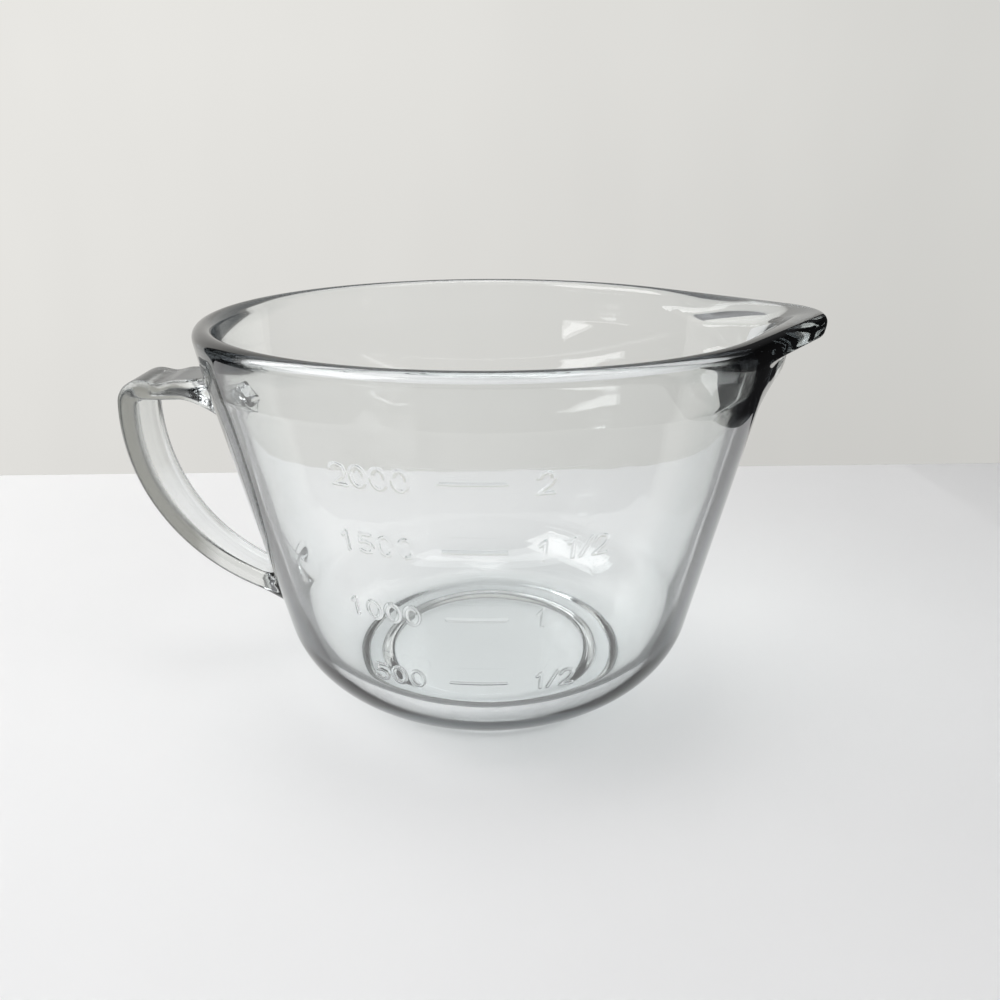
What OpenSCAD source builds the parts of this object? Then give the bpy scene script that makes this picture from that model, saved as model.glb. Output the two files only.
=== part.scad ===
// Batter bowl of pressed clear glass: a deep bowl on a low foot ring, with a
// pouring spout on +X, a strap handle on -X and moulded graduations on -Y.
// Millimetres, Z up, origin on the bowl's axis in the plane that it stands on.

/* [Bowl] */
// Height from the table to the top of the rim
bowl_h = 140; // [120:1:170]
// Outside diameter over the rolled rim
rim_d = 194.8; // [180:0.2:220]
// Thickness of the glass in the wall
wall_t = 5.2; // [4:0.1:6]
// Thickness of the glass in the floor
floor_t = 6.6; // [5:0.1:9]
// Outside radius of the curved heel that joins floor and wall
heel_r = 32; // [27:1:38]
// Radius of the floor's flat middle, and of the foot ring along its middle
base_r = 45.4; // [41:0.2:50]
// Height of the steeper collar below the rim
collar_h = 12.4; // [8:0.2:18]
// How far the collar leans outwards over its height
collar_lean = 1.5; // [0:0.1:2.5]

/* [Rim and foot] */
// Radius of the rolled bead that finishes the rim
bead_r = 3.4; // [3.1:0.1:4.5]
// Height of the foot ring below the floor
foot_h = 6; // [4:0.1:8]
// Radial width of the foot ring
foot_w = 13; // [9:0.5:15]
// Rounding of the foot ring's two lower edges
foot_edge_r = 2; // [1:0.1:2.4]

/* [Spout] */
// Reach of the spout's nose beyond the rim
spout_out = 20.8; // [12:0.1:26]
// Radius of the nose in plan, along the middle of its lip
spout_nose_r = 22; // [14:0.5:30]
// Depth below the rim at which the spout's underside leaves the wall
spout_root_drop = 45; // [34:1:52]
// Depth below the rim at which the pouring channel starts
channel_drop = 25; // [16:1:30]
// Depth of the rounded lip at the nose
lip_h = 7; // [6:0.5:11]

/* [Handle] */
// Reach of the handle beyond the rim
handle_out = 30.6; // [24:0.2:42]
// Depth of the handle's level top below the rim
handle_drop = 21; // [14:0.5:28]
// Height above the table at which the handle's outside meets the wall
handle_foot_z = 32.6; // [28:0.2:44]
// Thickness of the strap
handle_t = 7; // [5:0.1:8]
// Width of the strap where the thumb rests
handle_top_w = 26; // [20:0.5:32]
// Width of the strap at its lower end
handle_low_w = 18; // [14:0.5:26]
// Radius of the strap's top corner, along its middle
handle_corner_r = 5; // [4.5:0.5:9]
// Rounding of the strap's long edges
handle_edge_r = 2.4; // [1:0.1:2.4]
// Length over which each end of the handle flares into the wall
flare_len = 12; // [6:0.5:16]
// How much each side of the handle widens where it meets the wall
flare_w = 5; // [1:0.5:8]
// How much the handle thickens where it meets the wall
flare_t = 6; // [1:0.5:8]
// Depth of the thumb's hollow in the handle's top
thumb_dip = 1; // [0:0.1:1.8]

/* [Graduations] */
// Direction of the graduations, in degrees round the axis from the spout
mark_turn = -93.5; // [-110:0.5:-70]
// Height that the raised marks stand out of the wall
mark_relief = 0.5; // [0.3:0.05:0.8]
// Length of each graduation bar
bar_len = 16.8; // [10:0.2:24]
// Width of the raised strokes and bars
stroke_w = 0.9; // [0.6:0.05:1.2]
// Height of a numeral
digit_h = 6.2; // [4:0.1:7.5]
// Width of a numeral
digit_w = 4; // [3:0.1:5]
// Distance from one numeral to the next in the millilitres
digit_pitch = 6; // [5.5:0.1:7]
// Distance from one sign to the next in the quarts
quart_pitch = 4.1; // [4:0.1:6]
// Distance from the middle of a bar to the numerals beside it
digit_gap = 17; // [14:0.5:22]

/* [Hidden] */
$fn = 360;
glass_colour = [0.80, 0.87, 0.88];

// Heights of the graduations and where the spout's underside turns, as shares
mark_height_shares = [0.291, 0.468, 0.637, 0.789];
throat_share = 0.48;
throat_end_share = 0.73;
lip_start_share = 0.88;
arc_height_share = 0.81;
thumb_span_share = 0.55;
bead_end_share = 0.5;

// Turn between the end of the spout's edge and the plain rim beside it
spout_margin_turn = 2;

// What stands at each graduation, from the lowest up
millilitre_rows = ["500", "1000", "1500", "2000"];
quart_rows = ["1/2", "1", "1 1/2", "2"];

// Facets of the swept and lofted shapes
heel_steps = 24;
spout_steps = 36;
wall_steps = 18;
bead_steps = 7;
edge_steps = 4;
bar_steps = 10;
corner_steps = 8;
arc_steps = 26;
end_steps = 5;
zero_steps = 20;

// Small helpers
function unit(a) = [cos(a), sin(a)];
function mix(a, b, t) = a + (b - a) * t;
function clamp(x) = max(0, min(1, x));
function smooth(x) = let (c = clamp(x)) c * c * (3 - 2 * c);
function square_of(x) = x * x;
function meet(p, d, q, e) = p + d * cross(q - p, e) / cross(d, e);

// Outer profile: heel arc, a straight wall that is tangent to it, and a collar
rim_r = rim_d / 2;
bead_c = [rim_r - bead_r, bowl_h - bead_r];
bead_half_angle = asin(wall_t / (2 * bead_r));
wall_top_z = bead_c.y - bead_r * cos(bead_half_angle);
wall_top_out = bead_c.x + wall_t / 2;
wall_top_in = bead_c.x - wall_t / 2;
heel_c = [base_r, foot_h + heel_r];
knee_out = [wall_top_out - collar_lean, wall_top_z - collar_h];
knee_reach = norm(knee_out - heel_c);
knee_turn = atan2(knee_out.y - heel_c.y, knee_out.x - heel_c.x);
wall_turn = knee_turn - acos(heel_r / knee_reach);
wall_lean = -wall_turn;
heel_out = heel_c + heel_r * unit(wall_turn);
heel_in_r = heel_r
    - (wall_t + floor_t * sin(wall_turn)) / (1 + sin(wall_turn));
heel_in_c = [base_r, foot_h + floor_t + heel_in_r];
heel_in = heel_in_c + heel_in_r * unit(wall_turn);
wall_dir = knee_out - heel_out;
collar_dir = [collar_lean, collar_h];
knee_in = meet(heel_in, wall_dir, [wall_top_in, wall_top_z], collar_dir);

function heel_arc_r(z, c, r) = c.x + sqrt(max(0, r * r - square_of(c.y - z)));
function on_line(p, q, z) = mix(p.x, q.x, (z - p.y) / (q.y - p.y));
function outer_r(z) =
    z < heel_out.y ? heel_arc_r(z, heel_c, heel_r)
    : z < knee_out.y ? on_line(heel_out, knee_out, z)
    : on_line(knee_out, [wall_top_out, wall_top_z], z);
function inner_r(z) =
    z < heel_in.y ? heel_arc_r(z, heel_in_c, heel_in_r)
    : z < knee_in.y ? on_line(heel_in, knee_in, z)
    : on_line(knee_in, [wall_top_in, wall_top_z], z);

// Spout: in plan its edges are tangent to the rim and meet in the round nose
nose_pivot = bead_c.x - spout_nose_r;
spout_turn = acos(nose_pivot / (nose_pivot + spout_out)) + spout_margin_turn;
spout_root_z = bowl_h - spout_root_drop;
channel_z = bowl_h - channel_drop;
lip_z = bowl_h - lip_h;

function plan_r(a, r, out) =
    let (c = nose_pivot + out, t = acos(nose_pivot / c), n = r - nose_pivot)
    abs(a) >= t ? r
    : abs(a) >= atan2(n * sin(t), c + n * cos(t)) ? r / cos(t - abs(a))
    : c * cos(a) + sqrt(n * n - square_of(c * sin(a)));
function under_share(z) =
    let (t = clamp((z - spout_root_z) / (lip_z - spout_root_z)))
    throat_share * smooth(t / throat_end_share)
    + (1 - throat_share) * smooth((t - lip_start_share) / (1 - lip_start_share));
function channel_share(z) =
    1 - sqrt(1 - square_of(clamp((z - channel_z) / (bowl_h - channel_z))));

// Two matching chains up the outside and the inside of the wall, over the bead
function spout_level(i) = mix(spout_root_z, wall_top_z, i / wall_steps);
function bead_point(side, i) =
    bead_c + bead_r * [side * sin(bead_turn(i)), -cos(bead_turn(i))];
function bead_turn(i) = mix(bead_half_angle, 180, i / (bead_steps + bead_end_share));
spout_out_chain = concat(
    [for (i = [0:wall_steps]) let (z = spout_level(i)) [outer_r(z), z, under_share(z)]],
    [for (i = [1:bead_steps]) let (p = bead_point(1, i)) [p.x, p.y, under_share(p.y)]]
);
spout_in_chain = concat(
    [for (i = [0:wall_steps]) let (z = spout_level(i)) [inner_r(z), z, channel_share(z)]],
    [for (i = [1:bead_steps]) let (p = bead_point(-1, i)) [p.x, p.y, channel_share(p.y)]]
);
spout_loop = concat(
    spout_out_chain,
    [for (i = [len(spout_in_chain) - 1:-1:0]) spout_in_chain[i]]
);

// Handle: a level bar, a round corner and one long arc down to the heel
bar_top_z = bowl_h - handle_drop;
bar_z = bar_top_z - handle_t / 2;
arc_foot = [outer_r(handle_foot_z), handle_foot_z];
arc_side = rim_r + handle_out - arc_foot.x;
arc_rise = arc_height_share * (bar_top_z - handle_foot_z);
arc_out_r = (square_of(arc_side) + square_of(arc_rise)) / (2 * arc_side);
arc_r = arc_out_r - handle_t / 2;
arc_c = [rim_r + handle_out - arc_out_r, handle_foot_z + arc_rise];
corner_z = bar_z - handle_corner_r;
corner_turn = asin((corner_z - arc_c.y) / (arc_r - handle_corner_r));
corner_c = arc_c + (arc_r - handle_corner_r) * unit(corner_turn);
foot_turn = atan2(arc_foot.y - arc_c.y, arc_foot.x - arc_c.x);
end_turn = 360 * wall_t / (2 * PI * arc_r);
flare_turn = 360 * flare_len / (2 * PI * arc_r);
bar_wall_r = outer_r(bar_z);

// Stations along the handle: position, direction of the outside, distance to
// the wall, and how far along from the bar to the lower end
function station(p, turn, to_wall, along) = [p, turn, to_wall, along];
function bar_station(r) = station([r, bar_z], 90, max(0, r - bar_wall_r), 0);
function arc_station(a) = station(
    arc_c + arc_r * unit(a), a,
    max(0, (a - foot_turn) * PI * arc_r / 180),
    (corner_turn - a) / (corner_turn - foot_turn)
);
upper_stations = [for (i = [0:end_steps])
    bar_station(mix(bar_wall_r - wall_t, bar_wall_r + flare_len, i / end_steps))];
grip_stations = concat(
    [for (i = [0:bar_steps])
        bar_station(mix(bar_wall_r + flare_len, corner_c.x, i / bar_steps))],
    [for (i = [1:corner_steps]) let (a = mix(90, corner_turn, i / corner_steps))
        station(corner_c + handle_corner_r * unit(a), a, flare_len, 0)],
    [for (i = [1:arc_steps])
        arc_station(mix(corner_turn, foot_turn + flare_turn, i / arc_steps))]
);
lower_stations = [for (i = [0:end_steps])
    arc_station(mix(foot_turn + flare_turn, foot_turn - end_turn, i / end_steps))];

// Section of the strap at a station, and its flare near the wall
function flare(s) = square_of(1 - clamp(s[2] / flare_len));
function strap_w(s) = mix(handle_top_w, handle_low_w, smooth(s[3])) + 2 * flare_w * flare(s);
function dip(s) =
    let (mid = mix(bar_wall_r + flare_len, corner_c.x, thumb_span_share),
         half = corner_c.x - mid)
    s[1] < 90 ? 0 : thumb_dip * smooth(1 - abs(s[0].x - mid) / half);
function strap_ring(s) =
    let (w = strap_w(s), t = handle_t + flare_t * flare(s) - dip(s),
         lift = s[1] == 90 ? -(flare_t * flare(s) + dip(s)) / 2 : 0)
    [for (q = [0:3], i = [0:edge_steps])
        let (a = 90 * (q + i / edge_steps),
             sx = (q == 0 || q == 3) ? 1 : -1, sy = q < 2 ? 1 : -1,
             across = sx * (w / 2 - handle_edge_r) + handle_edge_r * cos(a),
             out = sy * (t / 2 - handle_edge_r) + handle_edge_r * sin(a) + lift,
             p = s[0] + out * unit(s[1]))
        [-p.x, across, p.y]];

// Triangles of a skin over rings of n points each
function skin_faces(rings, n) = [
    for (k = [0:rings - 2], i = [0:n - 1])
        let (a = k * n + i, b = k * n + (i + 1) % n)
        each [[a, a + n, b], [b, a + n, b + n]]
];
function fan_face(start, n, flip) = [
    for (i = [1:n - 2]) flip
        ? [start, start + i + 1, start + i]
        : [start, start + i, start + i + 1]
];
function ladder_face(start, n, flip) = [
    for (i = [0:n / 2 - 2])
        let (a = start + i, b = start + i + 1,
             c = start + n - 2 - i, d = start + n - 1 - i)
        each flip ? [[a, b, c], [a, c, d]] : [[a, c, b], [a, d, c]]
];

module swept_strap(stations) {
    rings = [for (s = stations) strap_ring(s)];
    n = len(rings[0]);
    polyhedron(
        points = [for (r = rings) each r],
        faces = concat(
            skin_faces(len(rings), n),
            fan_face(0, n, false),
            fan_face((len(rings) - 1) * n, n, true)
        ),
        convexity = 6
    );
}

// Solid of the bowl's outer shape, for cutting what stands on it
module bowl_blank() {
    rotate_extrude() polygon(concat(
        [[0, foot_h]],
        [for (i = [0:heel_steps])
            heel_c + heel_r * unit(mix(-90, wall_turn, i / heel_steps))],
        [knee_out, [wall_top_out, wall_top_z], [0, wall_top_z]]
    ));
}

module foot_ring() {
    inner = base_r - foot_w / 2;
    color(glass_colour) rotate_extrude() difference() {
        union() {
            translate([inner, foot_edge_r]) square([foot_w / 2, foot_h - foot_edge_r]);
            translate([base_r, foot_edge_r]) square([foot_w / 2, foot_h]);
            translate([inner + foot_edge_r, 0])
                square([foot_w - 2 * foot_edge_r, foot_h]);
            for (r = [inner + foot_edge_r, inner + foot_w - foot_edge_r])
                translate([r, foot_edge_r]) circle(foot_edge_r);
        }
        translate(heel_c) circle(heel_r);
    }
}

module base_disc() {
    color(glass_colour) translate([0, 0, foot_h]) cylinder(h = floor_t, r = base_r);
}

module heel() {
    reach = 2 * heel_r;
    color(glass_colour) rotate_extrude() intersection() {
        difference() {
            translate(heel_c) circle(heel_r);
            translate(heel_in_c) circle(heel_in_r);
        }
        polygon([
            heel_in_c, [base_r, heel_c.y - reach], [base_r + reach, heel_c.y - reach],
            heel_out + reach * (heel_out - heel_in) / wall_t, heel_out, heel_in,
        ]);
    }
}

module bowl_wall() {
    low_out = [outer_r(spout_root_z), spout_root_z];
    low_in = [inner_r(spout_root_z), spout_root_z];
    color(glass_colour) {
        rotate_extrude() polygon([heel_out, low_out, low_in, heel_in]);
        rotate_extrude(angle = 360 - 2 * spout_turn, start = spout_turn) polygon([
            low_out, knee_out, [wall_top_out, wall_top_z],
            [wall_top_in, wall_top_z], knee_in, low_in,
        ]);
    }
}

module rim_bead() {
    color(glass_colour)
        rotate_extrude(angle = 360 - 2 * spout_turn, start = spout_turn)
            intersection() {
                translate(bead_c) circle(bead_r);
                translate([bead_c.x - bead_r, wall_top_z]) square(2 * bead_r);
            }
}

module pouring_spout() {
    n = len(spout_loop);
    rings = [for (k = [0:spout_steps])
        let (a = mix(-spout_turn, spout_turn, k / spout_steps))
        [for (p = spout_loop)
            let (r = plan_r(a, p.x, max(p[2], 0) * spout_out)) [r * cos(a), r * sin(a), p.y]]];
    color(glass_colour) polyhedron(
        points = [for (r = rings) each r],
        faces = concat(
            skin_faces(len(rings), n),
            ladder_face(0, n, false),
            ladder_face(spout_steps * n, n, true)
        ),
        convexity = 6
    );
}

module handle_grip() {
    color(glass_colour) swept_strap(grip_stations);
}

module handle_upper_root() {
    color(glass_colour) difference() {
        swept_strap(upper_stations);
        bowl_blank();
    }
}

module handle_lower_root() {
    color(glass_colour) difference() {
        swept_strap(lower_stations);
        bowl_blank();
    }
}

// Strokes of a numeral, as shares of its width and height
function stroke_shares(c) =
    c == "1" ? [[0.2, 0.78], [0.5, 1], [0.5, 0]]
    : c == "2" ? [[0.02, 0.74], [0.16, 0.93], [0.5, 1], [0.86, 0.92], [0.97, 0.7],
                  [0.82, 0.45], [0.04, 0], [1, 0]]
    : c == "5" ? [[0.94, 1], [0.16, 1], [0.08, 0.56], [0.5, 0.62], [0.88, 0.52],
                  [1, 0.3], [0.84, 0.07], [0.45, 0], [0, 0.12]]
    : c == "/" ? [[0.05, 0], [0.75, 1]]
    : c == "0" ? [for (i = [0:zero_steps - 1])
                     let (a = 360 * i / zero_steps) [(1 + cos(a)) / 2, (1 + sin(a)) / 2]]
    : [];

// Outline of a line of even width through the points
function side_step(p, q) = let (d = (q - p) / norm(q - p)) [-d.y, d.x];
function offset_at(pts, i, closed) =
    let (n = len(pts), last = n - 1,
         a = i > 0 ? side_step(pts[i - 1], pts[i])
             : closed ? side_step(pts[last], pts[0]) : side_step(pts[0], pts[1]),
         b = i < last ? side_step(pts[i], pts[i + 1])
             : closed ? side_step(pts[last], pts[0]) : a)
    (a + b) / (1 + a * b);
function side_line(pts, out, closed) =
    [for (i = [0:len(pts) - 1]) pts[i] + out * offset_at(pts, i, closed)];
function sized(c) = [for (p = stroke_shares(c)) [p.x * digit_w, p.y * digit_h]];

module numeral(c) {
    pts = sized(c);
    if (c == "0") {
        difference() {
            polygon(side_line(pts, -stroke_w / 2, true));
            polygon(side_line(pts, stroke_w / 2, true));
        }
    } else if (len(pts) > 1) {
        left = side_line(pts, stroke_w / 2, false);
        right = side_line(pts, -stroke_w / 2, false);
        polygon(concat(left, [for (i = [len(right) - 1:-1:0]) right[i]]));
    }
}

// Lays a flat shape on the wall at a height, a distance round from the bars
module on_wall(z, round_off) {
    r = outer_r(z);
    turn = mark_turn + 360 * round_off / (2 * PI * r);
    rotate([0, 0, turn]) translate([r, 0, z]) rotate([0, wall_lean, 0]) rotate([90, 0, 90])
        translate([0, 0, -mark_relief]) linear_extrude(2 * mark_relief) children();
}

module numeral_row(word, z, from, pitch) {
    for (i = [0:len(word) - 1])
        on_wall(z, from + i * pitch)
            translate([0, -digit_h / 2]) numeral(word[i]);
}

module graduation_bars() {
    color(glass_colour) for (share = mark_height_shares) {
        z = share * bowl_h;
        turn = 360 * bar_len / (2 * PI * outer_r(z));
        low = z - stroke_w / 2;
        high = z + stroke_w / 2;
        rotate_extrude(angle = turn, start = mark_turn - turn / 2) polygon([
            [outer_r(low), low], [outer_r(low) + mark_relief, z - stroke_w / 4],
            [outer_r(high) + mark_relief, z + stroke_w / 4], [outer_r(high), high],
        ]);
    }
}

module numerals_millilitres() {
    color(glass_colour) difference() {
        for (i = [0:len(millilitre_rows) - 1]) {
            word = millilitre_rows[i];
            numeral_row(
                word, mark_height_shares[i] * bowl_h,
                -digit_gap - digit_w - (len(word) - 1) * digit_pitch, digit_pitch
            );
        }
        bowl_blank();
    }
}

module numerals_quarts() {
    color(glass_colour) difference() {
        for (i = [0:len(quart_rows) - 1])
            numeral_row(
                quart_rows[i], mark_height_shares[i] * bowl_h, digit_gap, quart_pitch
            );
        bowl_blank();
    }
}

foot_ring();
base_disc();
heel();
bowl_wall();
rim_bead();
pouring_spout();
handle_grip();
handle_upper_root();
handle_lower_root();
graduation_bars();
numerals_millilitres();
numerals_quarts();
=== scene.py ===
import math

import bmesh
import bpy
import numpy as np
from bpy.props import FloatProperty, FloatVectorProperty, IntProperty, PointerProperty
from mathutils import Matrix, Vector


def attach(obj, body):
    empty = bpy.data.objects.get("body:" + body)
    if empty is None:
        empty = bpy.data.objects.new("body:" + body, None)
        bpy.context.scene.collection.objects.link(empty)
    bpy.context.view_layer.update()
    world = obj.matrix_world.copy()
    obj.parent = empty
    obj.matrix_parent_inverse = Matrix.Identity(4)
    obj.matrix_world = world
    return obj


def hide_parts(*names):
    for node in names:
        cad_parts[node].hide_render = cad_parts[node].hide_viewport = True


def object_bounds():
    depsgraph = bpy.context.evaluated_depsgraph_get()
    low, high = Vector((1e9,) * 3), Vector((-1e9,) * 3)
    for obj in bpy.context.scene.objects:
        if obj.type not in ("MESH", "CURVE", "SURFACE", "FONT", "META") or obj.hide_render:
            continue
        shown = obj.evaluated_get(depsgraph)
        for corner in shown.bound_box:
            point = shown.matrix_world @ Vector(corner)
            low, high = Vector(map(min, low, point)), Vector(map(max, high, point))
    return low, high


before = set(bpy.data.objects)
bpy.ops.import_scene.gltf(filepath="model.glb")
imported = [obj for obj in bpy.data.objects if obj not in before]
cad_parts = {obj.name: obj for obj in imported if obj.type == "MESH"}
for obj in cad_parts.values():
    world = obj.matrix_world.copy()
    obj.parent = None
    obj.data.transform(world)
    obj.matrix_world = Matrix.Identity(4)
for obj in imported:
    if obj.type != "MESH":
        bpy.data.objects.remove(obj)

bl_info = {
    "name": "Glass Batter Bowl",
    "version": (1, 0, 0),
    "blender": (4, 5, 0),
    "location": "3D View > Sidebar > Batter Bowl",
    "description": "Builds a pressed glass batter bowl with its spout, handle and graduations",
    "category": "Add Mesh",
}

MM = 0.001
LOW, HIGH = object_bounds()

# Where a shade of the glass begins and ends, in metres along the axis named
HEEL_Z = (0.02, 0.055)
RIM_Z = (0.132, 0.136)
FLOOR_Z = (0.014, 0.02)
SPOUT_X = (0.085, 0.1)
STRAP_X = (-0.108, -0.1)
# How far a face of the strap is turned to the camera's side and a face of the bowl to its axis, for the
# painted shade
STRAP_TURN = (-0.85, -0.15)
LINING_TURN = (-0.02, 0)
# How edge-on a face is seen, and what it then lets through: painted shade that darkens the glass's
# colour towards its edges
EDGE_TONES = ((0.5, 0.9), (0.6, 0.8), (0.66, 0.72), (0.695, 0.5), (0.72, 0.05))
CLEAR_UNTIL, DARK_FROM = 0.4, 0.8
CLEAR_TONE = (0.99, 0.996, 0.996)

# Lamps: place, what it faces, size and power, in metres and watts
LAMPS = (
    ("window", (-1.1, -0.35, 1.0), (0, 0, 0.05), (1.4, 0.85), 17.2),
    ("ceiling_left", (-0.35, -0.15, 1.6), (0, 0.05, 0), (0.55, 1.2), 4.5),
    ("ceiling_right", (0.4, -0.15, 1.6), (0, 0.05, 0), (0.45, 1.2), 4),
    ("far_window", (-1.6, -0.98, 0.55), (0, 0, 0.12), (1.2, 0.05), 0.6),
)

# Where the curtain's shade changes, in metres, and the room's tones from low to high
CURTAIN_X = (-0.26, 0.3)
CURTAIN_Z = (-0.06, 0.25)
ROOM_TONES = ((0.6, (0.02, 0.02, 0.021)), (0.95, (0.30, 0.30, 0.31)))

# Curtain and table in metres, and how far apart the two pairs of them lie
CURTAIN_FOOT, CURTAIN_TOP, CURTAIN_GAP = -0.4, 0.6, 0.06
TABLE_FRONT, TABLE_ROUNDING, TABLE_DROP = 0.5, 0.01, 0.5
PAIRS_APART = 0.1 * MM

# The camera that took the photograph: place in metres, then yaw, pitch and roll in degrees
CAMERA_AT = (-0.00494, -0.28316, 0.1828)
CAMERA_TURN = (1.87, 21.89, 0.08)

# Step of the section's fine chain, and the largest turn between two rows that are kept of it
FINE_STEP, SHARPEST_TURN = 0.15 * MM, math.radians(7)
# Metres that stand for the whole of the spout's share, while the section is softened
SHARE_SCALE = 0.02
# How far above the foot ring the foot's polish reaches, and over what height it fades
FOOT_POLISH_REACH, FOOT_POLISH_FADE = 8 * MM, 6 * MM
# How far beyond the foot ring the outer wall begins
BEYOND_FOOT = 1 * MM

# Sections of the strap in each flare, the level bar, the corner and the long arc
FLARE_STATIONS, BAR_STATIONS, CORNER_STATIONS, ARC_STATIONS = 17, 20, 15, 64
# How the sections crowd towards the wall, and how a flare curves out into it
FLARE_CROWDING, FLARE_CURVE = 1.8, 1.5
# Where the thumb's hollow is deepest, as a share of the level bar
THUMB_AT = 0.55
# Between what distances along the strap the wall is looked for, and how often that is halved
WALL_NEAREST, WALL_FARTHEST, HALVINGS = -8 * MM, 30 * MM, 40

# Rows of the section under the bowl, and the window of finer mesh around a graduation
ROWS_UNDER = 30
MARGIN_LEFT, MARGIN_RIGHT, MARGIN_UP = 4 * MM, 2 * MM, 1.2 * MM
FINE_ROWS, FINE_COLUMNS = 7, 6


def length(name, description, default):
    return FloatProperty(
        name=name, description=description, default=default,
        unit="LENGTH", subtype="DISTANCE", precision=4,
    )


def share(name, description, default):
    return FloatProperty(
        name=name, description=description, default=default,
        min=0.0, max=1.0, subtype="FACTOR",
    )


def colour(name, description, default):
    return FloatVectorProperty(
        name=name, description=description, default=default,
        size=3, min=0.0, max=1.0, subtype="COLOR",
    )


class BowlSizes(bpy.types.PropertyGroup):
    height: length("Height", "From the table to the top of the rim", HIGH.z)
    rim_width: length("Rim diameter", "Outside diameter over the rolled rim", HIGH.y - LOW.y)
    wall: length("Wall", "Thickness of the glass in the wall", 5.2 * MM)
    floor: length("Floor", "Thickness of the glass in the floor", 6.6 * MM)
    heel_radius: length("Heel radius", "Outside radius of the curved heel", 32 * MM)
    floor_radius: length("Floor radius", "Radius of the flat middle of the floor", 45.4 * MM)
    collar_height: length("Collar height", "Height of the steeper collar below the rim", 12.4 * MM)
    collar_lean: length("Collar lean", "How far the collar leans outwards", 1.5 * MM)
    bead_radius: length("Rim bead radius", "Radius of the rolled bead of the rim", 3.4 * MM)
    foot_height: length("Foot height", "Height of the foot ring below the floor", 6 * MM)
    foot_width: length("Foot width", "Radial width of the foot ring", 13 * MM)
    fire_polish: length("Fire polish", "How far the fire polish softens every corner", 0.7 * MM)
    foot_slant: length("Foot slant", "How far the foot ring's sides slant", 4 * MM)
    foot_polish: length("Foot polish", "How far the fire polish softens the foot's corners", 1.4 * MM)
    row_step: length("Row step", "Largest distance between two rows of the mesh", 1.6 * MM)
    columns: IntProperty(name="Columns", description="Columns of the mesh round the bowl", default=360)


class SpoutSizes(bpy.types.PropertyGroup):
    reach: length("Reach", "Reach of the nose beyond the rim", HIGH.x - (HIGH.y - LOW.y) / 2)
    nose_radius: length("Nose radius", "Radius of the nose in plan", 22 * MM)
    root_drop: length("Root drop", "Depth below the rim at which the underside leaves the wall", 45 * MM)
    channel_drop: length("Channel drop", "Depth below the rim at which the channel starts", 25 * MM)
    lip_depth: length("Lip depth", "Depth of the rounded lip at the nose", 7 * MM)
    throat: share("Throat", "Share of the reach that the throat has gained", 0.48)
    throat_end: share("Throat end", "Share of the height at which the throat ends", 0.73)
    lip_start: share("Lip start", "Share of the height at which the lip starts", 0.88)


class HandleSizes(bpy.types.PropertyGroup):
    reach: length("Reach", "Reach of the handle beyond the rim", -LOW.x - (HIGH.y - LOW.y) / 2)
    top_drop: length("Top drop", "Depth of the level top below the rim", 21 * MM)
    foot_level: length("Foot level", "Height at which the outside meets the wall", 32.6 * MM)
    thickness: length("Thickness", "Thickness of the strap", 7 * MM)
    top_width: length("Top width", "Width of the strap where the thumb rests", 26 * MM)
    low_width: length("Lower width", "Width of the strap at its lower end", 18 * MM)
    corner_radius: length("Corner radius", "Radius of the top corner", 5 * MM)
    edge_rounding: length("Edge rounding", "Rounding of the strap's long edges", 2.9 * MM)
    flare_length: length("Flare length", "Length over which each end flares into the wall", 12 * MM)
    flare_side: length("Side flare", "How much each side widens at the wall", 5 * MM)
    flare_under: length("Under flare", "How much the hidden face flares at the wall", 8 * MM)
    flare_over: length("Outer flare", "How much the outer face flares at the wall", 1.6 * MM)
    thumb_dip: length("Thumb dip", "Depth of the thumb's hollow", 1 * MM)
    arc_height: share("Arc height", "Height of the long arc's centre", 0.81)


class MarkSizes(bpy.types.PropertyGroup):
    direction: FloatProperty(
        name="Direction", description="Direction of the graduations from the spout",
        default=math.radians(-93.5), unit="ROTATION", subtype="ANGLE",
    )
    relief: length("Relief", "Height of the marks over the wall", 0.25 * MM)
    softness: length("Softness", "Half the width over which a stroke's side falls away", 0.28 * MM)
    bar_length: length("Bar length", "Length of a graduation bar", 16.8 * MM)
    stroke: length("Stroke", "Width of the strokes", 0.9 * MM)
    digit_height: length("Numeral height", "Height of a numeral", 6.2 * MM)
    digit_width: length("Numeral width", "Width of a numeral", 4 * MM)
    digit_pitch: length("Numeral pitch", "From one numeral to the next in the millilitres", 6 * MM)
    quart_pitch: length("Quart pitch", "From one sign to the next in the quarts", 4.1 * MM)
    digit_gap: length("Numeral gap", "From the middle of a bar to the numerals", 17 * MM)


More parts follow.
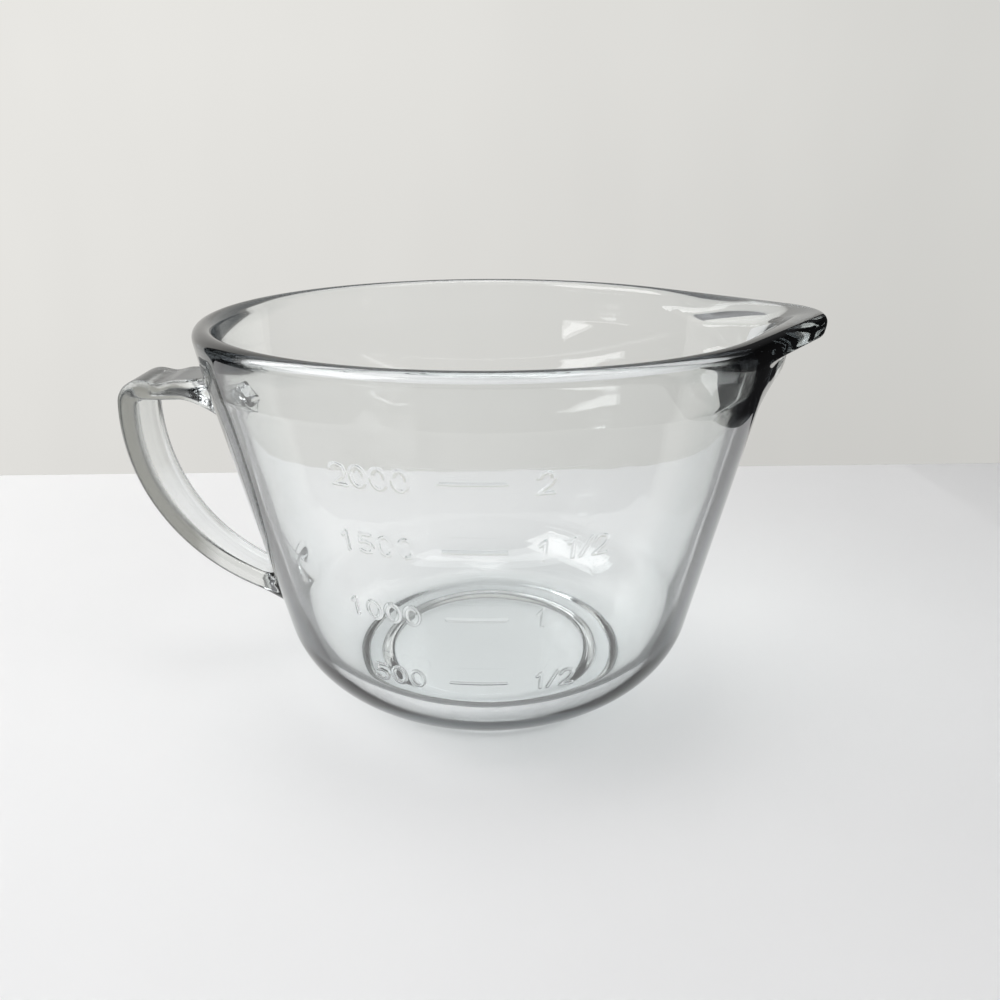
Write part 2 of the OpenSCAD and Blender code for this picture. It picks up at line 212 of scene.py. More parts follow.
class GlassLook(bpy.types.PropertyGroup):
    tint: colour("Tint", "Colour that thick glass takes on", (0.74, 0.83, 0.845))
    tint_depth: FloatProperty(
        name="Tint depth", description="How strongly a metre of glass takes on the tint",
        default=9.0, min=0.0,
    )
    refraction: FloatProperty(
        name="Refraction", description="Index of refraction of soda-lime glass", default=1.5, min=1.0
    )
    # Painted shade: the glass's colour darkens where a face is seen edge-on, sooner in the heel and rim,
    # later in the inner faces and the spout
    edge_shade: colour(
        "Edge shade", "What is left of the light that grazes the glass", (0.01, 0.012, 0.014)
    )
    heel_shade: share("Heel shade", "How much sooner the thick heel turns dark towards its edges", 0.24)
    rim_shade: share("Rim shade", "How much sooner the rolled rim turns dark towards its edges", 0.55)
    lining_relief: share("Lining relief", "How much later the inner faces turn dark", 0.1)
    spout_relief: share("Spout relief", "How much later the spout turns dark", 0.38)
    light_kept: colour("Light kept", "What each face lets through to the table", (0.865, 0.87, 0.87))
    light_kept_edge_on: colour(
        "Light kept edge-on", "What a face lets through that the light grazes", (0.78, 0.79, 0.79)
    )
    floor_shade: colour(
        "Floor shade", "What each face of the thick floor leaves of that light", (0.87, 0.875, 0.875)
    )
    # Painted shade: the colour of the strap's side that is turned towards the camera
    side_shade: colour("Side shade", "What the strap's rougher sides let through", (0.45, 0.445, 0.42))
    strap_film: share("Strap film", "Roughness that hands have left on the strap", 0.16)
    waviness: share("Waviness", "How much the pressed surface wanders", 0.12)
    film: share("Film", "Roughness that handling leaves on the glass", 0.03)


class StudioLook(bpy.types.PropertyGroup):
    table: colour("Table", "Colour of the pale table top", (0.83, 0.83, 0.83))
    # Painted light and shade: the curtain is painted lighter on the window's side and darker away from
    # it
    curtain_lit_left: colour("Curtain left", "Curtain on the side of the window", (0.80, 0.79, 0.76))
    curtain_shaded_right: colour("Curtain right", "Curtain on the side away from it", (0.655, 0.65, 0.625))
    half_width: length("Half width", "Half the width of the table and the curtain", 0.5)
    sheet_left: length("Sheet left", "How far left the pale sheet reaches that shows in the glass", 0.5)
    sheet_right: length("Sheet right", "How far right that sheet reaches", 0.29)
    # Painted light: the table and curtain that show only in the glass are made brighter by this factor
    lift: FloatProperty(
        name="Lift", description="What the room's reflections add to the sheet that shows in the glass",
        default=1.04, min=1.0,
    )
    sheet_front: length("Sheet front", "How far that sheet reaches in front of the bowl's axis", 0.5)
    table_depth: length("Table depth", "From the bowl's axis to the table's back edge", 0.226)
    lens: FloatProperty(name="Lens", description="Focal length on a 36 mm sensor", default=28.88)


class BatterBowl(bpy.types.PropertyGroup):
    bowl: PointerProperty(type=BowlSizes)
    spout: PointerProperty(type=SpoutSizes)
    handle: PointerProperty(type=HandleSizes)
    marks: PointerProperty(type=MarkSizes)
    glass: PointerProperty(type=GlassLook)
    studio: PointerProperty(type=StudioLook)


# Small helpers for curves

def unit(angle):
    return np.array([math.cos(angle), math.sin(angle)])


def smooth(x):
    x = np.clip(x, 0, 1)
    return x * x * (3 - 2 * x)


def line(p, q, step):
    """Points of a straight line, without its end."""
    count = max(2, math.ceil(np.linalg.norm(np.subtract(q, p)) / step))
    return [np.asarray(p) + (np.asarray(q) - p) * k / count for k in range(count)]


def arc(centre, radius, start, end, step):
    """Points of an arc, without its end."""
    count = max(3, math.ceil(abs(end - start) * radius / step))
    return [centre + radius * unit(start + (end - start) * k / count) for k in range(count)]


def soften(points, sigma, step):
    """Evens out a chain of points and rounds its corners as a fire polish does."""
    points = np.asarray(points)
    along = np.concatenate([[0], np.cumsum(np.linalg.norm(np.diff(points, axis=0), axis=1))])
    even = np.linspace(0, along[-1], int(along[-1] / step))
    chain = np.stack([np.interp(even, along, points[:, k]) for k in range(points.shape[1])], 1)
    reach = int(3 * sigma / step)
    kernel = np.exp(-0.5 * (np.arange(-reach, reach + 1) * step / sigma) ** 2)
    before = 2 * chain[0] - chain[reach:0:-1]
    after = 2 * chain[-1] - chain[-2:-reach - 2:-1]
    padded = np.concatenate([before, chain, after])
    return np.stack(
        [np.convolve(padded[:, k], kernel / kernel.sum(), "valid") for k in range(points.shape[1])], 1
    )


def thin_out(chain, longest, sharpest):
    """Keeps few points of a fine chain where it is straight and many where it turns."""
    steps = np.diff(chain, axis=0)
    lengths = np.linalg.norm(steps, axis=1)
    heading = np.unwrap(np.arctan2(steps[:, 1], steps[:, 0]))
    bend = np.abs(np.gradient(heading))
    cost = np.concatenate([[0], np.cumsum(lengths / longest + bend / sharpest)])
    wanted = np.linspace(0, cost[-1], int(cost[-1]) + 1)
    return np.stack([np.interp(wanted, cost, chain[:, k]) for k in range(chain.shape[1])], 1)


class BowlShape:
    """The bowl's section and plan, worked out from the sizes in the panel."""

    def __init__(self, bowl, spout):
        self.bowl, self.spout = bowl, spout
        self.bead = np.array([bowl.rim_width / 2 - bowl.bead_radius, bowl.height - bowl.bead_radius])
        bead_half = math.asin(bowl.wall / (2 * bowl.bead_radius))
        top = self.bead[1] - bowl.bead_radius * math.cos(bead_half)
        self.top_out = np.array([self.bead[0] + bowl.wall / 2, top])
        self.top_in = np.array([self.bead[0] - bowl.wall / 2, top])
        self.heel = np.array([bowl.floor_radius, bowl.foot_height + bowl.heel_radius])
        self.knee_out = self.top_out - [bowl.collar_lean, bowl.collar_height]
        to_knee = self.knee_out - self.heel
        self.wall_turn = math.atan2(to_knee[1], to_knee[0]) - math.acos(
            bowl.heel_radius / np.linalg.norm(to_knee)
        )
        self.heel_out = self.heel + bowl.heel_radius * unit(self.wall_turn)
        lean = math.sin(self.wall_turn)
        self.inner_radius = bowl.heel_radius - (bowl.wall + bowl.floor * lean) / (1 + lean)
        self.floor_z = bowl.foot_height + bowl.floor
        self.inner_heel = np.array([bowl.floor_radius, self.floor_z + self.inner_radius])
        self.heel_in = self.inner_heel + self.inner_radius * unit(self.wall_turn)
        wall_way = self.knee_out - self.heel_out
        collar_way = self.top_out - self.knee_out
        gap = self.top_in - self.heel_in
        cross = wall_way[0] * collar_way[1] - wall_way[1] * collar_way[0]
        self.knee_in = self.heel_in + wall_way * (
            gap[0] * collar_way[1] - gap[1] * collar_way[0]
        ) / cross
        self.bead_out = self.touch(self.knee_out, 1)
        self.bead_in = self.touch(self.knee_in, -1) + 2 * math.pi
        self.pivot = self.bead[0] - spout.nose_radius
        self.section()

    def touch(self, point, side):
        """Where a line from a point touches the rim's bead."""
        way = point - self.bead
        return math.atan2(way[1], way[0]) + side * math.acos(self.bowl.bead_radius / np.linalg.norm(way))

    def under_share(self, z):
        """Share of the spout's reach that its underside has at a height."""
        spout, height = self.spout, self.bowl.height
        t = np.clip((z - height + spout.root_drop) / (spout.root_drop - spout.lip_depth), 0, 1)
        return spout.throat * smooth(t / spout.throat_end) + (1 - spout.throat) * smooth(
            (t - spout.lip_start) / (1 - spout.lip_start)
        )

    def channel_share(self, z):
        """Share of the spout's reach that its channel has at a height."""
        drop = self.spout.channel_drop
        depth = np.clip((z - self.bowl.height + drop) / drop, 0, 1)
        return 1 - np.sqrt(1 - depth**2)

    def section(self):
        """Half of the section from the underside's middle, over the rim, to the floor's middle."""
        bowl, step = self.bowl, FINE_STEP
        ring_in = bowl.floor_radius - bowl.foot_width / 2
        ring_out = bowl.floor_radius + bowl.foot_width / 2
        slant, quarter = bowl.foot_slant, math.pi / 2
        start = -math.acos(bowl.foot_width / 2 / bowl.heel_radius)
        outside = (
            line([0, bowl.foot_height], [ring_in, bowl.foot_height], step)
            + line([ring_in, bowl.foot_height], [ring_in + slant, 0], step)
            + line([ring_in + slant, 0], [ring_out - slant / 2, 0], step)
            + line([ring_out - slant / 2, 0], self.heel + bowl.heel_radius * unit(start), step)
            + arc(self.heel, bowl.heel_radius, start, self.wall_turn, step)
            + line(self.heel_out, self.knee_out, step)
            + line(self.knee_out, self.bead + bowl.bead_radius * unit(self.bead_out), step)
            + arc(self.bead, bowl.bead_radius, self.bead_out, quarter, step)
        )
        inside = (
            arc(self.bead, bowl.bead_radius, quarter, self.bead_in, step)
            + line(self.bead + bowl.bead_radius * unit(self.bead_in), self.knee_in, step)
            + line(self.knee_in, self.heel_in, step)
            + arc(self.inner_heel, self.inner_radius, self.wall_turn, -quarter, step)
            + line([bowl.floor_radius, self.floor_z], [0, self.floor_z], step)
            + [np.array([0, self.floor_z])]
        )
        out_share = [float(self.under_share(p[1])) for p in outside]
        in_share = [float(self.channel_share(p[1])) for p in inside]
        shares = np.array(out_share + in_share) * SHARE_SCALE
        chain = np.column_stack([np.array(outside + inside), shares])
        fine = soften(chain, bowl.fire_polish, step)
        foot = soften(chain, bowl.foot_polish, step)
        polish_top = bowl.foot_height + FOOT_POLISH_REACH
        at_foot = smooth((polish_top - fine[:, 1]) / FOOT_POLISH_FADE) * (fine[:, 1] < self.floor_z)
        fine += (foot - fine) * at_foot[:, None]
        fine[:, 2] /= SHARE_SCALE
        fine[:, 2] = np.clip(fine[:, 2], 0, 1)
        fine[0, 0] = fine[-1, 0] = 0
        peak = int(np.argmax(fine[:, 1]))
        lowest = int(np.argmax(fine[:peak, 0] > ring_out + BEYOND_FOOT))
        widest = lowest + int(np.argmax(fine[lowest:peak, 0]))
        self.wall_z, self.wall_r = fine[lowest:widest, 1], fine[lowest:widest, 0]
        # The share counts as metres here, which keeps the rows close together in the spout
        self.rows = thin_out(fine, bowl.row_step, SHARPEST_TURN)
        self.peak = int(np.argmax(self.rows[:, 1]))

    def outer_r(self, z):
        """Radius of the outer wall at a height."""
        return np.interp(z, self.wall_z, self.wall_r)

    def in_plan(self, azimuth, r, part):
        """Distance from the axis once the spout has drawn a circle out by its part of the reach."""
        a = np.abs((azimuth + math.pi) % (2 * math.pi) - math.pi)
        centre = self.pivot + part * self.spout.reach
        edge = np.arccos(np.clip(self.pivot / centre, -1, 1))
        nose = np.maximum(r - self.pivot, 0)
        turned = np.arctan2(nose * np.sin(edge), centre + nose * np.cos(edge))
        straight = r / np.maximum(np.cos(edge - a), 0.2)
        rounded = centre * np.cos(a) + np.sqrt(np.maximum(nose**2 - (centre * np.sin(a)) ** 2, 0))
        return np.where((a >= edge) | (part <= 0), r, np.where(a >= turned, straight, rounded))

    def place(self, azimuth, r, z, part):
        """Points in space for azimuths and rows of the section."""
        reach = self.in_plan(azimuth, r, part)
        return np.stack(np.broadcast_arrays(reach * np.cos(azimuth), reach * np.sin(azimuth), z), -1)

    def on_wall(self, azimuth, z):
        r = self.outer_r(z)
        return np.stack(np.broadcast_arrays(r * np.cos(azimuth), r * np.sin(azimuth), z), -1)


class Shell:
    """Points and faces of the glass, gathered before they become a mesh."""

    def __init__(self):
        self.points, self.faces, self.count, self.between = [], [], 0, {}

    def add(self, points):
        """Takes in a grid of points and gives their numbers."""
        points = np.asarray(points, float)
        self.points.append(points.reshape(-1, 3))
        total = int(np.prod(points.shape[:-1]))
        ids = np.arange(self.count, self.count + total).reshape(points.shape[:-1])
        self.count += total
        return ids

    def sheet(self, ids):
        a, b, c, d = ids[:-1, :-1], ids[:-1, 1:], ids[1:, 1:], ids[1:, :-1]
        self.faces += np.stack([a, b, c, d], -1).reshape(-1, 4).tolist()

    def tube(self, rings):
        self.sheet(np.concatenate([rings, rings[:, :1]], 1))

    def cell(self, corners):
        """A face that takes in the finer points which a neighbour has put on its edges."""
        face = []
        for a, b in zip(corners, corners[1:] + corners[:1]):
            face.append(a)
            if (a, b) in self.between:
                face += self.between[a, b]
            elif (b, a) in self.between:
                face += self.between[b, a][::-1]
        self.faces.append(face)

    def mesh(self, name):
        mesh = bpy.data.meshes.new(name)
        mesh.from_pydata(np.concatenate(self.points).tolist(), [], self.faces)
        work = bmesh.new()
        work.from_mesh(mesh)
        bmesh.ops.delete(work, geom=[v for v in work.verts if not v.link_faces], context="VERTS")
        bmesh.ops.recalc_face_normals(work, faces=work.faces)
        work.to_mesh(mesh)
        work.free()
        mesh.shade_smooth()
        return mesh


# Graduations: strokes in a box of width and height one

NUMERAL_STROKES = {
    "1": [(0.2, 0.78), (0.5, 1), (0.5, 0)],
    "2": [(0.02, 0.74), (0.16, 0.93), (0.5, 1), (0.86, 0.92), (0.97, 0.7), (0.82, 0.45),
          (0.04, 0), (1, 0)],
    "5": [(0.94, 1), (0.16, 1), (0.08, 0.56), (0.5, 0.62), (0.88, 0.52), (1, 0.3), (0.84, 0.07),
          (0.45, 0), (0, 0.12)],
    "/": [(0.05, 0), (0.75, 1)],
    "0": [
        (0.5 + 0.5 * math.cos(k * math.pi / 10), 0.5 + 0.5 * math.sin(k * math.pi / 10))
        for k in range(21)
    ],
}
MARK_LEVELS = (0.291, 0.468, 0.637, 0.789)
MILLILITRES = ("500", "1000", "1500", "2000")
QUARTS = ("1/2", "1", "1 1/2", "2")


def mark_strokes(marks, row):
    """Polylines of one graduation, in metres along and up the wall from the bar's middle."""
    half = marks.bar_length / 2
    lines = [np.array([(-half, 0), (half, 0)])]
    word = MILLILITRES[row]
    start = -marks.digit_gap - marks.digit_width - (len(word) - 1) * marks.digit_pitch
    for text, first, pitch in (
        (word, start, marks.digit_pitch), (QUARTS[row], marks.digit_gap, marks.quart_pitch),
    ):
        for k, sign in enumerate(text):
            if sign in NUMERAL_STROKES:
                box = np.array(NUMERAL_STROKES[sign]) - (0, 0.5)
                box = box * (marks.digit_width, marks.digit_height)
                lines.append(box + (first + k * pitch, 0))
    return lines


def mark_height(marks, lines, along, up):
    """Height of the soft relief over the wall at points on it."""
    nearest = np.full(along.shape, np.inf)
    for points in lines:
        for p, q in zip(points[:-1], points[1:]):
            way = q - p
            t = np.clip(((along - p[0]) * way[0] + (up - p[1]) * way[1]) / (way @ way), 0, 1)
            nearest = np.minimum(nearest, np.hypot(along - p[0] - t * way[0], up - p[1] - t * way[1]))
    soft = marks.softness
    return marks.relief * smooth((marks.stroke / 2 + soft - nearest) / (2 * soft))


def add_marks(shell, shape, marks, ids, columns):
    """Swaps four windows of the outer wall for finer ones that carry the graduations."""
    taken = np.zeros((ids.shape[0] - 1, columns), bool)
    rows, lean = shape.rows, -shape.wall_turn
    on_wall = np.arange(len(rows)) > ROWS_UNDER
    for row, level in enumerate(MARK_LEVELS):
        z = level * shape.bowl.height
        r = float(shape.outer_r(z))
        left = marks.digit_gap + marks.digit_width + 3 * marks.digit_pitch + MARGIN_LEFT
        right = marks.digit_gap + 6 * marks.digit_pitch + MARGIN_RIGHT
        i0 = math.floor((marks.direction - left / r) / (2 * math.pi) * columns)
        i1 = math.ceil((marks.direction + right / r) / (2 * math.pi) * columns)
        tall = (marks.digit_height / 2 + MARGIN_UP) * math.cos(lean)
        j0 = int(np.argmax((rows[:, 1] > z - tall) & on_wall)) - 1
        j1 = int(np.argmax((rows[:, 1] > z + tall) & on_wall))
        j = np.linspace(j0, j1, (j1 - j0) * FINE_ROWS + 1)
        i = np.linspace(i0, i1, (i1 - i0) * FINE_COLUMNS + 1)
        zs = np.interp(j, np.arange(len(rows)), rows[:, 1])
        azimuth = i * 2 * math.pi / columns
        along = (azimuth[None] - marks.direction) * r + 0 * zs[:, None]
        up = (zs[:, None] - z) / math.cos(lean) + 0 * azimuth[None]
        height = mark_height(marks, mark_strokes(marks, row), along, up)
        reach = shape.outer_r(zs)[:, None] + height * math.cos(lean)
        level_z = zs[:, None] - height * math.sin(lean)
        grid = shell.add(np.stack(
            [reach * np.cos(azimuth), reach * np.sin(azimuth), level_z], -1
        ))
        cols = np.arange(i0, i1 + 1) % columns
        grid[0, ::FINE_COLUMNS] = ids[j0, cols]
        grid[-1, ::FINE_COLUMNS] = ids[j1, cols]
        grid[::FINE_ROWS, 0] = ids[j0:j1 + 1, cols[0]]
        grid[::FINE_ROWS, -1] = ids[j0:j1 + 1, cols[-1]]
        for side, many in (
            (grid[0], FINE_COLUMNS), (grid[-1], FINE_COLUMNS),
            (grid[:, 0], FINE_ROWS), (grid[:, -1], FINE_ROWS),
        ):
            for k in range(0, len(side) - 1, many):
                shell.between[int(side[k]), int(side[k + many])] = side[k + 1:k + many].tolist()
        shell.sheet(grid)
        for col in cols[:-1]:
            taken[j0:j1, col] = True
    return taken


class HandleShape:
    """The strap's path: a level bar, a round corner and one long arc down to the heel."""

    def __init__(self, shape, handle):
        self.shape, self.handle = shape, handle
        bowl = shape.bowl
        top = bowl.height - handle.top_drop
        self.bar_z = top - handle.thickness / 2
        foot = np.array([float(shape.outer_r(handle.foot_level)), handle.foot_level])
        side = bowl.rim_width / 2 + handle.reach - foot[0]
        rise = handle.arc_height * (top - handle.foot_level)
        outer = (side**2 + rise**2) / (2 * side)
        self.arc_r = outer - handle.thickness / 2
        self.arc_c = np.array([bowl.rim_width / 2 + handle.reach - outer, handle.foot_level + rise])
        corner_z = self.bar_z - handle.corner_radius
        self.corner_turn = math.asin((corner_z - self.arc_c[1]) / (self.arc_r - handle.corner_radius))
        self.corner_c = self.arc_c + (self.arc_r - handle.corner_radius) * unit(self.corner_turn)
        self.foot_turn = math.atan2(foot[1] - self.arc_c[1], foot[0] - self.arc_c[0])
        self.wall_at_bar = float(shape.outer_r(self.bar_z))

    def stations(self):
        """Position, direction of the outside, distance to the wall, and how far along."""
        def on_arc(a, to_wall):
            along = (self.corner_turn - a) / (self.corner_turn - self.foot_turn)
            return self.arc_c + self.arc_r * unit(a), a, to_wall, along

        handle = self.handle
        near = handle.flare_length * np.linspace(0, 1, FLARE_STATIONS) ** FLARE_CROWDING
        out = [(np.array([self.wall_at_bar + d, self.bar_z]), math.pi / 2, d, 0.0) for d in near[:-1]]
        bar_start = self.wall_at_bar + handle.flare_length
        for r in np.linspace(bar_start, self.corner_c[0], BAR_STATIONS)[:-1]:
            out.append((np.array([r, self.bar_z]), math.pi / 2, r - self.wall_at_bar, 0.0))
        for a in np.linspace(math.pi / 2, self.corner_turn, CORNER_STATIONS)[:-1]:
            out.append((self.corner_c + handle.corner_radius * unit(a), a, 1.0, 0.0))
        last = self.foot_turn + handle.flare_length / self.arc_r
        for a in np.linspace(self.corner_turn, last, ARC_STATIONS):
            out.append(on_arc(a, (a - self.foot_turn) * self.arc_r))
        for d in near[-2::-1]:
            out.append(on_arc(self.foot_turn + d / self.arc_r, d))
        return out

    def dip(self, p, a):
        """Depth of the thumb's hollow at a section of the level bar."""
        start = self.wall_at_bar + self.handle.flare_length
        middle = start + THUMB_AT * (self.corner_c[0] - start)
        if a < math.pi / 2 - 1e-6:
            return 0.0
        half = self.corner_c[0] - middle
        return self.handle.thumb_dip * float(smooth(1 - abs(p[0] - middle) / half))

    def ring(self, loop, station):
        """One section of the strap, warped so that its end lies on the round wall."""
        handle, (p, a, to_wall, along) = self.handle, station
        near = min(to_wall / handle.flare_length, 1)
        grow = 1 - (1 - (1 - near) ** FLARE_CURVE) ** (1 / FLARE_CURVE)
        width = handle.top_width + (handle.low_width - handle.top_width) * float(smooth(along))
        side = width / 2 + handle.flare_side * grow
        over = handle.thickness / 2 + handle.flare_over * grow - self.dip(p, a)
        under = handle.thickness / 2 + handle.flare_under * grow
        edge = handle.edge_rounding * (1 + grow)
        x, y = loop[:, 0] * side, np.where(loop[:, 1] > 0, loop[:, 1] * over, loop[:, 1] * under)
        cx = np.clip(x, edge - side, side - edge)
        cy = np.clip(y, edge - under, over - edge)
        dx, dy = x - cx, y - cy
        scale = np.where((dx != 0) & (dy != 0), edge / np.maximum(np.hypot(dx, dy), 1e-9), 1)
        across, out = cx + dx * scale, cy + dy * scale
        way = unit(a)
        points = np.stack([-(p[0] + out * way[0]), across, p[1] + out * way[1]], -1)
        pull = (1 - near) ** 2
        if pull > 0:
            heading = np.array([-math.sin(a), 0, -math.cos(a)]) if along > 0 else np.array([1.0, 0, 0])
            reach = self.to_wall(points, heading)
            points = points + heading * (pull * (reach - to_wall))[:, None]
        return points

    def to_wall(self, points, heading):
        """How far points lie from the wall along a heading."""
        low, high = np.full(len(points), WALL_NEAREST), np.full(len(points), WALL_FARTHEST)
        for _ in range(HALVINGS):
            middle = (low + high) / 2
            at = points + heading * middle[:, None]
            outside = np.hypot(at[:, 0], at[:, 1]) > self.shape.outer_r(at[:, 2])
            low, high = np.where(outside, middle, low), np.where(outside, high, middle)
        return (low + high) / 2


def crowded(count):
    """Steps from 1 down towards -1 that crowd at both ends."""
    k = np.arange(count)
    return 1 - 2 * (0.5 * k / count + 0.25 * (1 - np.cos(np.pi * k / count)))


def add_handle(shell, shape, handle, ids, columns, taken):
    """Grows the strap out of two holes in the outer wall, so that glass and glass are one."""
    half_cols, tall = 14, 16
    rows = shape.rows
    path = HandleShape(shape, handle)
    i0, i1 = columns // 2 - half_cols, columns // 2 + half_cols
    cols = list(range(i0, i1 + 1))
    across, out = crowded(2 * half_cols), crowded(tall)
    loop = np.concatenate([
        np.stack([across, 1 + 0 * across], -1), np.stack([-1 + 0 * out, out], -1),
        np.stack([-across, -1 + 0 * across], -1), np.stack([1 + 0 * out, -out], -1),
    ])
    rings = [path.ring(loop, s) for s in path.stations()]

    def hole(middle_z, upwards):
        """Opens the wall, and gives the points round the opening and where they are on the wall."""
        wall = np.arange(len(rows))
        wall = wall[(wall > ROWS_UNDER) & (wall < shape.peak)]
        middle = int(wall[np.argmin(abs(rows[wall, 1] - middle_z))])
        j0, j1 = middle - tall // 2, middle + tall // 2
        over, under = (j1, j0) if upwards else (j0, j1)
        way = -1 if upwards else 1
        edge = (
            [(over, i) for i in cols[:-1]] + [(j, i1) for j in range(over, under, way)]
            + [(under, i) for i in cols[:0:-1]] + [(j, i0) for j in range(under, over, -way)]
        )
        taken[j0:j1, i0:i1] = True
        return np.array([ids[j, i] for j, i in edge]), np.array(
            [(i * 2 * math.pi / columns, rows[j, 1]) for j, i in edge]
        )

    def collar(ring, edge):
        """Rings on the wall between the strap's end and the hole."""
        azimuth = np.arctan2(ring[:, 1], ring[:, 0]) % (2 * math.pi)
        at = np.stack([azimuth, ring[:, 2]], -1)
        return [shape.on_wall(*(edge + (at - edge) * t).T) for t in (0.25, 0.5, 0.75)]

    upper_ids, upper_edge = hole(float(rings[0][:, 2].mean()), True)
    lower_ids, lower_edge = hole(float(rings[-1][:, 2].mean()), False)
    chain = collar(rings[0], upper_edge) + rings + collar(rings[-1], lower_edge)[::-1]
    body = shell.add(np.stack(chain))
    shell.tube(np.concatenate([[upper_ids], body, [lower_ids]]))


def glass_mesh(props):
    """The whole bowl as one closed skin of glass."""
    shape = BowlShape(props.bowl, props.spout)
    columns = props.bowl.columns
    rows = shape.rows
    azimuth = np.arange(columns) * 2 * math.pi / columns
    shell = Shell()
    body = rows[1:-1]
    ids = np.zeros((len(rows), columns), int)
    ids[1:-1] = shell.add(shape.place(azimuth[None], body[:, :1], body[:, 1:2], body[:, 2:3]))
    ends = shell.add(np.array([[0, 0, rows[0, 1]], [0, 0, rows[-1, 1]]]))
    ids[0], ids[-1] = ends
    taken = add_marks(shell, shape, props.marks, ids, columns)
    add_handle(shell, shape, props.handle, ids, columns, taken)
    for j in range(len(rows) - 1):
        for i in np.flatnonzero(~taken[j]):
            k = (i + 1) % columns
            corners = [int(ids[j, i]), int(ids[j, k]), int(ids[j + 1, k]), int(ids[j + 1, i])]
            if j == 0:
                corners = corners[1:]
            elif j == len(rows) - 2:
                corners = corners[:3]
            shell.cell(corners)
    return shell.mesh("glass_bowl")


# Materials

def new_material(name):
    material = bpy.data.materials.new(name)
    material.use_nodes = True
    tree = material.node_tree
    tree.nodes.clear()
    return material, tree


def node(tree, kind, **values):
    """A new node, with values for its inputs or its settings."""
    made = tree.nodes.new(kind)
    for name, value in values.items():
        if name in made.inputs:
            made.inputs[name].default_value = value
        else:
            setattr(made, name, value)
    return made


def noise(tree, source, scale, detail, stretch=(1, 1, 1)):
    mapping = node(tree, "ShaderNodeMapping")
    mapping.inputs["Scale"].default_value = stretch
    tree.links.new(source, mapping.inputs["Vector"])
    made = node(tree, "ShaderNodeTexNoise", Scale=scale, Detail=detail)
    tree.links.new(mapping.outputs["Vector"], made.inputs["Vector"])
    return made


def spread_over(tree, source, low, high, start=0.3, end=0.7):
    """Goes from low to high while the source goes from start to end."""
    made = node(tree, "ShaderNodeMapRange")
    made.inputs["From Min"].default_value = start
    made.inputs["From Max"].default_value = end
    made.inputs["To Min"].default_value = low
    made.inputs["To Max"].default_value = high
    tree.links.new(source, made.inputs["Value"])
    return made.outputs["Result"]


def parts_of(tree, source):
    """The X, Y and Z of a vector."""
    made = node(tree, "ShaderNodeSeparateXYZ")
    tree.links.new(source, made.inputs["Vector"])
    return made.outputs


def mixed(tree, share_of, first, second):
    """Two shaders, with as much of the second as a share says."""
    made = node(tree, "ShaderNodeMixShader")
    for source, socket in zip((share_of, first, second), made.inputs):
        tree.links.new(source, socket)
    return made.outputs["Shader"]


def product(tree, *factors):
    """The product of several outputs."""
    result = factors[0]
    for factor in factors[1:]:
        times = node(tree, "ShaderNodeMath", operation="MULTIPLY")
        tree.links.new(result, times.inputs[0])
        tree.links.new(factor, times.inputs[1])
        result = times.outputs["Value"]
    return result


def largest(tree, *outputs):
    """The largest of several outputs."""
    result = outputs[0]
    for output in outputs[1:]:
        larger = node(tree, "ShaderNodeMath", operation="MAXIMUM")
        tree.links.new(result, larger.inputs[0])
        tree.links.new(output, larger.inputs[1])
        result = larger.outputs["Value"]
    return result


def ramp(tree, source, *tones):
    """Colours over a source, each with its position."""
    made = node(tree, "ShaderNodeValToRGB")
    elements = made.color_ramp.elements
    for element, (at, tone) in zip(elements, (tones[0], tones[-1])):
        element.position, element.color = at, (*tone, 1)
    for at, tone in tones[1:-1]:
        elements.new(at).color = (*tone, 1)
    tree.links.new(source, made.inputs["Fac"])
    return made.outputs["Color"]


def multiplied(tree, share_of, base, tone):
    """A colour multiplied by a tone, as far as a share says."""
    made = node(tree, "ShaderNodeMix", data_type="RGBA", blend_type="MULTIPLY")
    tree.links.new(share_of, made.inputs[0])
    tree.links.new(base, made.inputs[6])
    made.inputs[7].default_value = (*tone, 1)
    return made.outputs[2]


def edge_darkness(tree, look, where, normal):
    """How edge-on a face is seen, made more of in the heel and rim and less in the lining and spout, for
    the painted shade at the glass's edges.
    """
    grazing = node(tree, "ShaderNodeLayerWeight", Blend=0.5).outputs["Facing"]
    away = node(tree, "ShaderNodeVectorMath", operation="DOT_PRODUCT")
    tree.links.new(normal, away.inputs[0])
    tree.links.new(where["whole"], away.inputs[1])
    return product(
        tree, grazing,
        spread_over(tree, where["Z"], 1 + look.heel_shade, 1, *HEEL_Z),
        spread_over(tree, where["Z"], 1, 1 + look.rim_shade, *RIM_Z),
        spread_over(tree, away.outputs["Value"], 1 - look.lining_relief, 1, *LINING_TURN),
        spread_over(tree, where["X"], 1, 1 - look.spout_relief, *SPOUT_X),
    )


def light_through(tree, look, where):
    """What a shadow ray keeps, less where the glass is seen edge-on and less again in the floor."""
    edge_on = node(tree, "ShaderNodeLayerWeight", Blend=0.35).outputs["Facing"]
    dimmed = ramp(tree, edge_on, (0, look.light_kept), (1, look.light_kept_edge_on))
    under = spread_over(tree, where["Z"], 1, 0, *FLOOR_Z)
    clear = node(tree, "ShaderNodeBsdfTransparent")
    tree.links.new(multiplied(tree, under, dimmed, look.floor_shade), clear.inputs["Color"])
    return clear.outputs["BSDF"]


